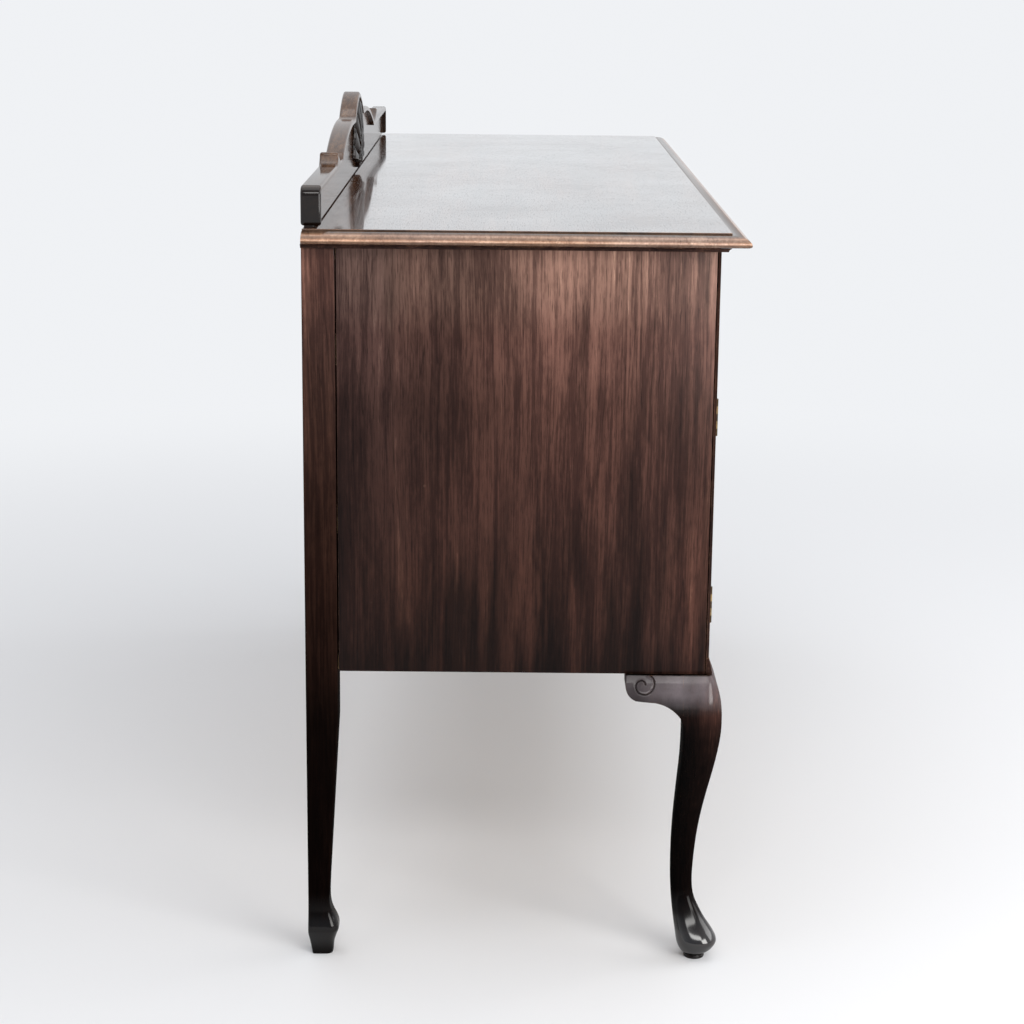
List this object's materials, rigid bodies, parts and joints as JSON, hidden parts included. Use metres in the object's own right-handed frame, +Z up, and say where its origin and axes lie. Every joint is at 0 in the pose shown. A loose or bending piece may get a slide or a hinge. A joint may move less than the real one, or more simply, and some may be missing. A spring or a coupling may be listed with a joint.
{
  "type": "sideboard",
  "caption": "Sideboard with cabriole front legs, a shaped gallery, drawers with swinging bail handles, and a hinged cupboard at each end.",
  "frame": {"origin": "on the floor, under the middle of the bounding box", "axes": "+X along the length towards the right end, +Y towards the back, +Z up; the drawers face -Y"},
  "size_m": [1.54, 0.533, 1.045],
  "materials": {
    "polished_top": "red-brown mahogany under a high French polish",
    "mahogany_veneer": "mahogany veneer with streaked grain under a worn polish",
    "dark_mahogany": "dark stained mahogany, polished",
    "leg_mahogany": "very dark stained mahogany with worn edges",
    "oak": "bare oak",
    "plywood": "stained plywood",
    "brass": "aged cast brass",
    "steel": "dull steel"
  },
  "bodies": {
    "carcase": {"top_board": "polished_top", "bed_moulding": "dark_mahogany", "gallery_board": "polished_top", "gallery_carving": "dark_mahogany", "gallery_straps": "steel", "left_end_panel": "mahogany_veneer", "right_end_panel": "mahogany_veneer", "rear_left_leg": "leg_mahogany", "rear_right_leg": "leg_mahogany", "front_left_leg": "leg_mahogany", "front_right_leg": "leg_mahogany", "knee_blocks": "leg_mahogany", "corner_stiles": "dark_mahogany", "division_stiles": "dark_mahogany", "partitions": "oak", "top_rail": "dark_mahogany", "drawer_rails": "dark_mahogany", "bottom_rail": "dark_mahogany", "base_moulding": "dark_mahogany", "bottom_board": "oak", "dust_boards": "plywood", "drawer_runners": "oak", "kickers": "oak", "shelves": "plywood", "shelf_bearers": "oak", "door_stops": "oak", "back_panel": "plywood", "back_rails": "oak", "back_screws": "steel", "fixed_hinge_leaves": "brass", "hinge_pins": "brass"},
    "left_drawer": {"left_drawer_front": "mahogany_veneer", "left_drawer_box": "oak", "left_drawer_plates": "brass"},
    "left_drawer_bail": {"left_drawer_bail": "brass"},
    "middle_drawer": {"middle_drawer_front": "mahogany_veneer", "middle_drawer_box": "oak", "middle_drawer_plates": "brass"},
    "middle_drawer_bail_left": {"middle_drawer_bail_left": "brass"},
    "middle_drawer_bail_right": {"middle_drawer_bail_right": "brass"},
    "right_drawer": {"right_drawer_front": "mahogany_veneer", "right_drawer_box": "oak", "right_drawer_plates": "brass"},
    "right_drawer_bail": {"right_drawer_bail": "brass"},
    "upper_drawer": {"upper_drawer_front": "mahogany_veneer", "upper_drawer_box": "oak", "upper_drawer_plates": "brass"},
    "upper_drawer_bail_left": {"upper_drawer_bail_left": "brass"},
    "upper_drawer_bail_right": {"upper_drawer_bail_right": "brass"},
    "lower_drawer": {"lower_drawer_front": "mahogany_veneer", "lower_drawer_box": "oak", "lower_drawer_plates": "brass"},
    "lower_drawer_bail_left": {"lower_drawer_bail_left": "brass"},
    "lower_drawer_bail_right": {"lower_drawer_bail_right": "brass"},
    "left_door": {"left_door": "mahogany_veneer", "left_door_fittings": "brass"},
    "left_drop": {"left_drop": "brass"},
    "right_door": {"right_door": "mahogany_veneer", "right_door_fittings": "brass"},
    "right_drop": {"right_drop": "brass"}
  },
  "joints": [
    {"name": "left_drawer_slide", "type": "slide", "parent": "carcase", "child": "left_drawer", "axis": [0, -1, 0], "range_m": [0, 0.33]},
    {"name": "left_drawer_bail_swing", "type": "hinge", "parent": "left_drawer", "child": "left_drawer_bail", "pos_m": [-0.486, -0.2465, 0.841], "axis": [-1, 0, 0], "range_deg": [-15, 190]},
    {"name": "middle_drawer_slide", "type": "slide", "parent": "carcase", "child": "middle_drawer", "axis": [0, -1, 0], "range_m": [0, 0.33]},
    {"name": "middle_drawer_bail_left_swing", "type": "hinge", "parent": "middle_drawer", "child": "middle_drawer_bail_left", "pos_m": [-0.118, -0.2465, 0.841], "axis": [-1, 0, 0], "range_deg": [-15, 190]},
    {"name": "middle_drawer_bail_right_swing", "type": "hinge", "parent": "middle_drawer", "child": "middle_drawer_bail_right", "pos_m": [0.118, -0.2465, 0.841], "axis": [-1, 0, 0], "range_deg": [-15, 190]},
    {"name": "right_drawer_slide", "type": "slide", "parent": "carcase", "child": "right_drawer", "axis": [0, -1, 0], "range_m": [0, 0.33]},
    {"name": "right_drawer_bail_swing", "type": "hinge", "parent": "right_drawer", "child": "right_drawer_bail", "pos_m": [0.486, -0.2465, 0.841], "axis": [-1, 0, 0], "range_deg": [-15, 190]},
    {"name": "upper_drawer_slide", "type": "slide", "parent": "carcase", "child": "upper_drawer", "axis": [0, -1, 0], "range_m": [0, 0.33]},
    {"name": "upper_drawer_bail_left_swing", "type": "hinge", "parent": "upper_drawer", "child": "upper_drawer_bail_left", "pos_m": [-0.118, -0.2465, 0.682], "axis": [-1, 0, 0], "range_deg": [-15, 190]},
    {"name": "upper_drawer_bail_right_swing", "type": "hinge", "parent": "upper_drawer", "child": "upper_drawer_bail_right", "pos_m": [0.118, -0.2465, 0.682], "axis": [-1, 0, 0], "range_deg": [-15, 190]},
    {"name": "lower_drawer_slide", "type": "slide", "parent": "carcase", "child": "lower_drawer", "axis": [0, -1, 0], "range_m": [0, 0.33]},
    {"name": "lower_drawer_bail_left_swing", "type": "hinge", "parent": "lower_drawer", "child": "lower_drawer_bail_left", "pos_m": [-0.118, -0.2465, 0.492], "axis": [-1, 0, 0], "range_deg": [-15, 190]},
    {"name": "lower_drawer_bail_right_swing", "type": "hinge", "parent": "lower_drawer", "child": "lower_drawer_bail_right", "pos_m": [0.118, -0.2465, 0.492], "axis": [-1, 0, 0], "range_deg": [-15, 190]},
    {"name": "left_door_hinge", "type": "hinge", "parent": "carcase", "child": "left_door", "pos_m": [-0.71225, -0.234, 0.581], "axis": [0, 0, -1], "range_deg": [0, 105]},
    {"name": "left_drop_swing", "type": "hinge", "parent": "left_door", "child": "left_drop", "pos_m": [-0.2865, -0.2445, 0.601], "axis": [-1, 0, 0], "range_deg": [-2, 165]},
    {"name": "right_door_hinge", "type": "hinge", "parent": "carcase", "child": "right_door", "pos_m": [0.71225, -0.234, 0.581], "axis": [0, 0, 1], "range_deg": [0, 105]},
    {"name": "right_drop_swing", "type": "hinge", "parent": "right_door", "child": "right_drop", "pos_m": [0.2865, -0.2445, 0.601], "axis": [-1, 0, 0], "range_deg": [-2, 165]}
  ]
}
